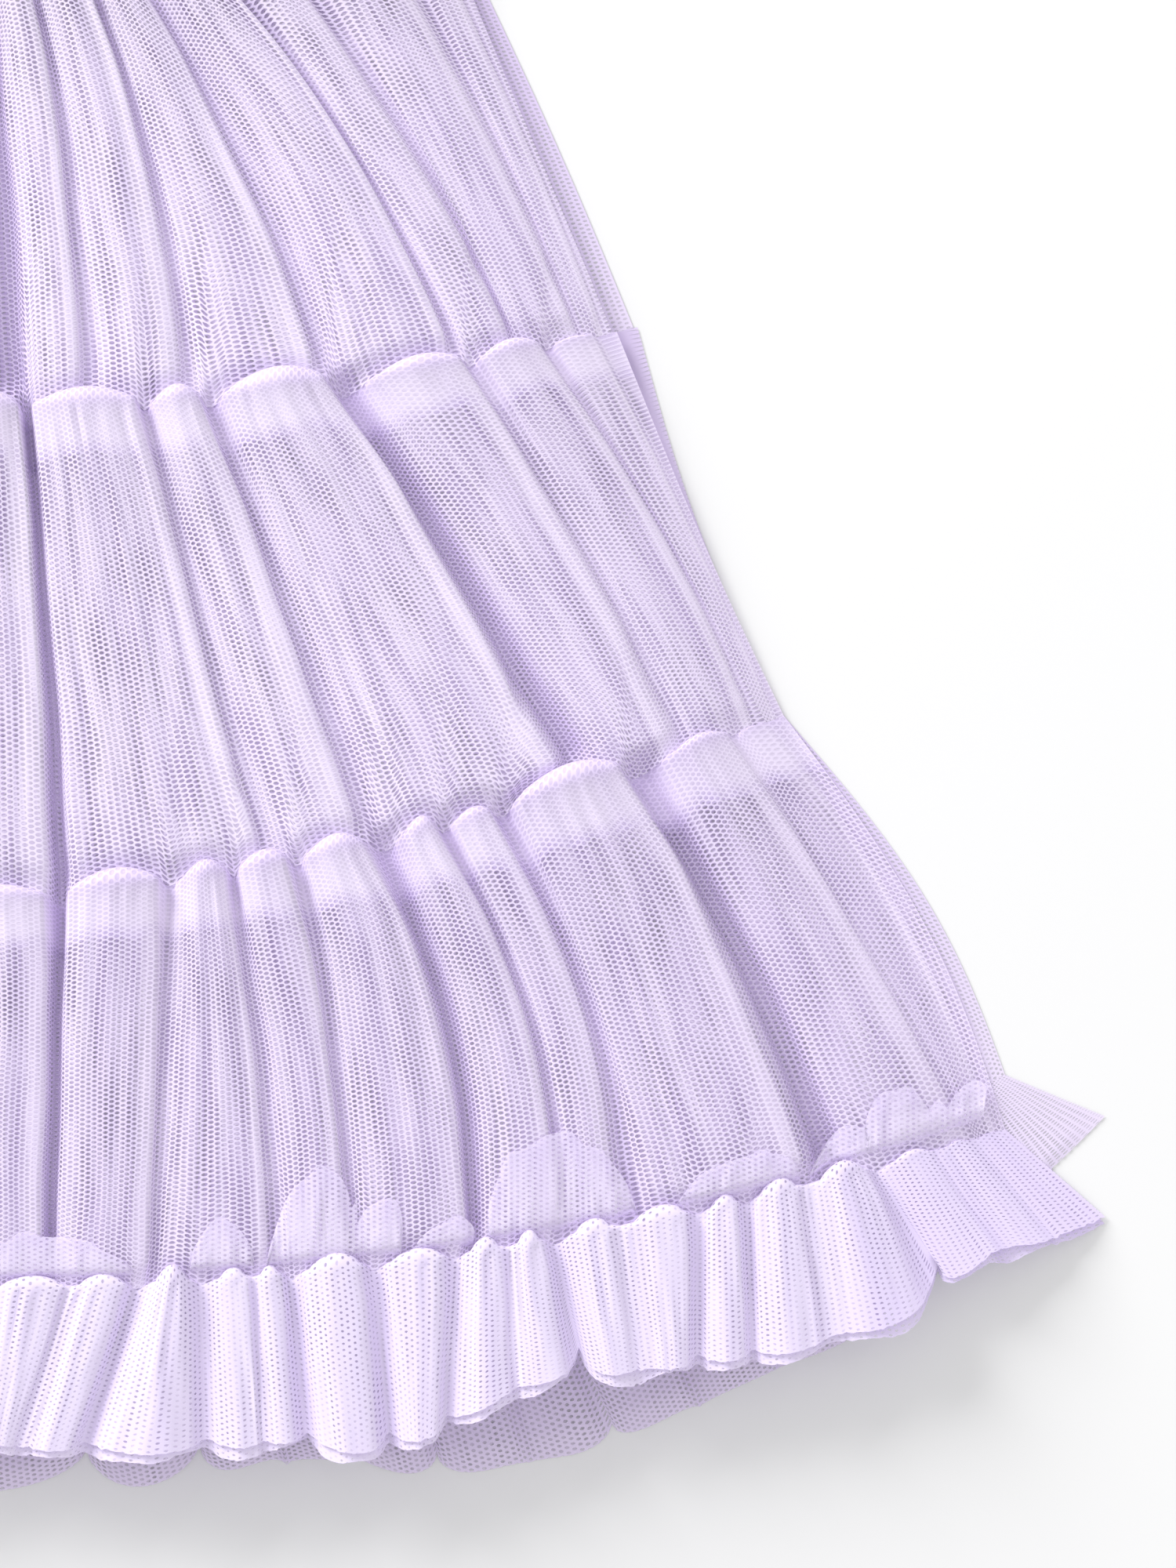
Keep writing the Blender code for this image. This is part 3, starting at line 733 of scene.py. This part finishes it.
WAIST = Section(drop=0.0, climb=3.0, curve=2.0, half_width=119.0, loft=11.5)
TIER_1_FOLDS = (
    Fold(0, 0, 1.5, 3.5, 4, 12.5, 2.5, -6.0, 0, 0.0),
    Fold(8.3, 21, 13.5, 26.9, 14.7, 31, 4.0, -2.0, 3, 1.0),
    Fold(15.6, 36, 26.5, 51, 27.8, 55, 3.5, -2.0, 4, 1.0),
    Fold(29.5, 58, 37, 83, 39.5, 87, 3.0, -2.5, 4, 1.5),
    Fold(43, 92.6, 55, 114.8, 57, 117.6, 4.0, -2.0, 7, 2.0),
    Fold(62, 120.4, 71, 129.6, 76, 131, 4.0, -2.0, 5, 1.5),
    Fold(83, 132.5, 98, 145, 103.7, 146.7, 4.0, -1.5, 2, 1.5),
    Fold(106, 148, 112, 151.5, 113.5, 152.5, 2.5, -1.0, 1, 1.0),
)
tier_1_knots = panel_knots(TIER_1_FOLDS, WAIST, SEAM_1, (0.4, None), (116, 154, 0))
tier_1 = Panel(WAIST, SEAM_1, tier_1_knots, tier_2, 1.0)
front_panel("tier_1_front", tier_1, 92)
back_knots = panel_knots(TIER_1_FOLDS, WAIST, SEAM_1, (2.4, 3.9), (119, 159, 1))
tier_1_back = Panel(WAIST, SEAM_1, back_knots, None, 5.0)
back_panel("tier_1_back", tier_1_back, 40, 0.7, pressed_shaded_tulle)


# Bodice: two plain sleeveless panels of fine cotton jersey, joined at the shoulders and sides.
# The back lies flat on the surface.  The front lies on it and rises only over the gathers at the waist.
# Neck and armholes are turned in once and held by a twin-needle stitch.

BODICE_LENGTH = 210.0
BODICE_CHEST = 134.0
BODICE_NECK = 62.0
BODICE_SHOULDER = 97.0
SHOULDER_SLOPE = 14.0
ARMHOLE_DEPTH = 118.0
FRONT_NECK_DEPTH = 68.0
BACK_NECK_DEPTH = 30.0
BODICE_SETTLE = 0.45
JERSEY_WALL = 0.7
MESH_STEP = 3.0
RIM_ROWS = (1.2, 3.0)
RIM_GAP = 4.6


def bodice_edge(neck_depth, steps):
    """The right half of a panel's top edge: neck, shoulder and armhole, from the centre to the underarm."""
    top_y = WAIST_Y + BODICE_LENGTH
    turn = np.radians(np.linspace(0, 90, steps))
    neck = np.stack([BODICE_NECK * np.sin(turn), top_y - neck_depth * np.cos(turn)], axis=1)
    slope = np.linspace(0, 1, 20)[1:-1, None]
    start = np.array([BODICE_NECK, top_y])
    end = np.array([BODICE_SHOULDER, top_y - SHOULDER_SLOPE])
    underarm_y = top_y - SHOULDER_SLOPE - ARMHOLE_DEPTH
    armhole_x = BODICE_CHEST - (BODICE_CHEST - BODICE_SHOULDER) * np.cos(turn)
    armhole_y = underarm_y + ARMHOLE_DEPTH * (1.0 - np.sin(turn))
    return np.concatenate([neck, start + (end - start) * slope, np.stack([armhole_x, armhole_y], axis=1)])


def bodice_outline(neck_depth, gathered):
    """A panel's outline in millimetres: down the right from the neck, along the waist, and up the left."""
    waist_x = np.linspace(WAIST.half_width, -WAIST.half_width, 200)
    share = waist_x / WAIST.half_width
    waist_y = section_y(WAIST, share) - 0.6
    if gathered:
        waist_y = waist_y + 0.4 * np.minimum(seam_wave(tier_1, waist_x), 0) * (1.0 - share**8)
    waist = np.stack([waist_x, waist_y], axis=1)
    right = bodice_edge(neck_depth, 60)
    side = right[-1] + (waist[0] - right[-1]) * np.linspace(0, 1, 40)[1:-1, None]
    right = np.concatenate([right, side])
    return np.concatenate([right, waist, (right[::-1] * (-1, 1))[:-1]])


def outline_gaps(spots, outline):
    return np.hypot(spots[:, None, 0] - outline[:, 0], spots[:, None, 1] - outline[:, 1]).min(axis=1)


def inset(outline, reach):
    """The outline moved inwards, without the spots that then lie too near another part of it."""
    run = np.roll(outline, -1, axis=0) - np.roll(outline, 1, axis=0)
    inward = np.stack([run[:, 1], -run[:, 0]], axis=1) / np.linalg.norm(run, axis=1)[:, None]
    moved = outline + reach * inward
    return moved[outline_gaps(moved, outline) > 0.95 * reach]


def bodice_panel(name, neck_depth, on_surface, seed, material):
    """One panel: triangles inside its outline, in even rows near its edge, with the cloth's wall."""
    outline = bodice_outline(neck_depth, not on_surface)
    across = np.arange(-132, 133, MESH_STEP)
    upwards = np.arange(outline[:, 1].min(), outline[:, 1].max(), MESH_STEP)
    grid_x, grid_y = np.meshgrid(across, upwards)
    inner = np.stack([grid_x.ravel() + 0.7 * np.sin(grid_y.ravel()), grid_y.ravel()], axis=1)
    inner = inner[outline_gaps(inner, outline) > RIM_GAP]
    inner = np.concatenate([inset(outline, reach) for reach in RIM_ROWS] + [inner])
    spots = [Vector(spot) for spot in np.concatenate([outline, inner])]
    loop = [(number, (number + 1) % len(outline)) for number in range(len(outline))]
    spots, _, faces, _, _, _ = delaunay_2d_cdt(spots, loop, [list(range(len(outline)))], 1, 1e-4)
    x, y = np.array([tuple(spot) for spot in spots]).T
    up = np.clip((y - section_y(WAIST, x / BODICE_CHEST)) / BODICE_LENGTH, 0, 1)
    half_width = WAIST.half_width + (BODICE_CHEST - WAIST.half_width) * np.clip(up * 1.9, 0, 1)
    share = np.clip(x / half_width, -1, 1)
    wrinkles = ripple(x + 0.12 * y, y / 60.0, 55.0, seed) * (1.0 - share**4) * (1.0 - 0.6 * up)
    if on_surface:
        z = LOW_CLOTH + 0.15 * (2 + wrinkles)
    else:
        settle = smooth(up / BODICE_SETTLE)
        z = arch(WAIST.loft + (2.0 - WAIST.loft) * settle, share) + 1.2 * (1 + wrinkles)
        z = z + 1.0 * np.exp(-up * 12.0) * (1.0 - share**6) * ripple(x, 0 * y, 13.0, seed)
        z = z + 0.9 * np.minimum(seam_wave(tier_1, x), 0) * (1.0 - share**8) * np.exp(-up * 16.0)
    mesh = bpy.data.meshes.new(name + "_cloth")
    points = np.stack([x, y, z], axis=1) * MM
    used = [face for face in faces if len(set(face)) == 3]
    mesh.from_pydata(points.tolist(), [], used)
    cloth_map = mesh.uv_layers.new(name="cloth")
    corners = np.empty(len(mesh.loops), dtype=np.int32)
    mesh.loops.foreach_get("vertex_index", corners)
    cloth_map.data.foreach_set("uv", points[corners, :2].astype(np.float32).ravel())
    rim = outline_gaps(points[:, :2] / MM, outline)
    rim_layer = mesh.attributes.new("edge_gap", "FLOAT", "POINT")
    rim_layer.data.foreach_set("value", rim.astype(np.float32))
    mesh.materials.append(material)
    if on_surface:
        mesh.flip_normals()
    mesh.shade_smooth()
    piece = bpy.data.objects.new(name + "_cloth", mesh)
    bpy.context.scene.collection.objects.link(piece)
    wall = piece.modifiers.new("Wall", "SOLIDIFY")
    wall.thickness = JERSEY_WALL * MM
    wall.offset = 0.0
    bpy.ops.object.select_all(action="DESELECT")
    piece.select_set(True)
    bpy.context.view_layer.objects.active = piece
    bpy.ops.object.modifier_apply(modifier="Wall")
    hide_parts(name)
    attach(piece, "root")
    return piece


WALE = 1.1
COURSE = 0.9
STITCH_ROWS = (7.0, 10.0)

jersey, tree, shader = start_material("lavender_jersey", 0.85)
cloth = tree.nodes.new("ShaderNodeUVMap")
cloth.uv_map = "cloth"
split = tree.nodes.new("ShaderNodeSeparateXYZ")
tree.links.new(cloth.outputs[0], split.inputs[0])
wale = add_math(tree, "SINE", add_math(tree, "MULTIPLY", split.outputs[0], 2 * math.pi / (WALE * MM)))
course = add_math(tree, "SINE", add_math(tree, "MULTIPLY", split.outputs[1], 2 * math.pi / (COURSE * MM)))
rim = tree.nodes.new("ShaderNodeAttribute")
rim.attribute_name = "edge_gap"
first_row = add_math(tree, "COMPARE", rim.outputs["Fac"], STITCH_ROWS[0], 0.5)
second_row = add_math(tree, "COMPARE", rim.outputs["Fac"], STITCH_ROWS[1], 0.5)
stitches = add_math(tree, "ADD", first_row, second_row)
cloudy = tree.nodes.new("ShaderNodeTexNoise")
cloudy.inputs["Scale"].default_value = 900.0
tree.links.new(cloth.outputs[0], cloudy.inputs["Vector"])
heather = tree.nodes.new("ShaderNodeMixRGB")
heather.inputs["Color1"].default_value = (0.57, 0.48, 0.74, 1)
heather.inputs["Color2"].default_value = (0.66, 0.58, 0.81, 1)
tree.links.new(cloudy.outputs["Fac"], heather.inputs["Fac"])
tree.links.new(heather.outputs[0], shader.inputs["Base Color"])
knit = add_math(tree, "MULTIPLY_ADD", wale, 0.5, add_math(tree, "MULTIPLY", course, 0.2))
height = add_math(tree, "SUBTRACT", knit, add_math(tree, "MULTIPLY", stitches, 2.5))
bump = tree.nodes.new("ShaderNodeBump")
bump.inputs["Strength"].default_value = 0.35
bump.inputs["Distance"].default_value = 0.2 * MM
tree.links.new(height, bump.inputs["Height"])
tree.links.new(bump.outputs[0], shader.inputs["Normal"])

bodice_panel("bodice_back", BACK_NECK_DEPTH, True, 1.0, jersey)
bodice_panel("bodice_front", FRONT_NECK_DEPTH, False, 2.0, jersey)


# Setting: a plain near-white surface under soft studio light from the upper left.
# The camera looks straight down on the lower right quarter of the dress, as in the photograph.

FLOOR_SIZE = 6.0

bpy.ops.object.select_all(action="DESELECT")
bpy.ops.mesh.primitive_plane_add(size=FLOOR_SIZE, location=(0, 0, 0))
floor = bpy.context.object
floor.name = "floor"
paper, tree, shader = start_material("white_paper", 0.9)
shader.inputs["Base Color"].default_value = (0.84, 0.84, 0.845, 1)
floor.data.materials.append(paper)

PHOTO_PX_PER_MM = 5.4
PHOTO_MIDDLE = (750, 1000)
PHOTO_ORIGIN = (-50, 363)
PHOTO_HEIGHT = 2000 / PHOTO_PX_PER_MM * MM
VIEW_X = (PHOTO_MIDDLE[0] - PHOTO_ORIGIN[0]) / PHOTO_PX_PER_MM * MM
VIEW_Y = (PHOTO_ORIGIN[1] - PHOTO_MIDDLE[1]) / PHOTO_PX_PER_MM * MM
CLOTH_LEVEL = 0.015
LENS = 100.0
SENSOR = 36.0

camera_data = bpy.data.cameras.new("camera")
camera_data.lens = LENS
camera_data.sensor_width = SENSOR
camera = bpy.data.objects.new("camera", camera_data)
bpy.context.scene.collection.objects.link(camera)
camera.location = (VIEW_X, VIEW_Y, CLOTH_LEVEL + PHOTO_HEIGHT * LENS / SENSOR)
camera.rotation_euler = (0, 0, 0)
bpy.context.scene.camera = camera

LIGHT_AIM = (0.1, -0.1, 0.0)
WORLD_STRENGTH = 0.77

Lamp = namedtuple("Lamp", "name place size power")
for lamp in (
    Lamp("key", (-2.4, 2.4, 1.6), 1.8, 150.0),
    Lamp("fill", (1.1, -0.9, 1.6), 1.6, 3.0),
):
    light_data = bpy.data.lights.new(lamp.name, "AREA")
    light_data.size = lamp.size
    light_data.energy = lamp.power
    light = bpy.data.objects.new(lamp.name, light_data)
    bpy.context.scene.collection.objects.link(light)
    light.location = lamp.place
    aim = np.array(LIGHT_AIM) - np.array(lamp.place)
    flat = math.hypot(aim[0], aim[1])
    light.rotation_euler = (math.atan2(flat, -aim[2]), 0, math.atan2(aim[1], aim[0]) - math.pi / 2)

world = bpy.data.worlds.new("studio")
bpy.context.scene.world = world
world.use_nodes = True
world.node_tree.nodes["Background"].inputs["Color"].default_value = (1, 1, 1, 1)
world.node_tree.nodes["Background"].inputs["Strength"].default_value = WORLD_STRENGTH
bpy.context.scene.view_settings.view_transform = "Standard"
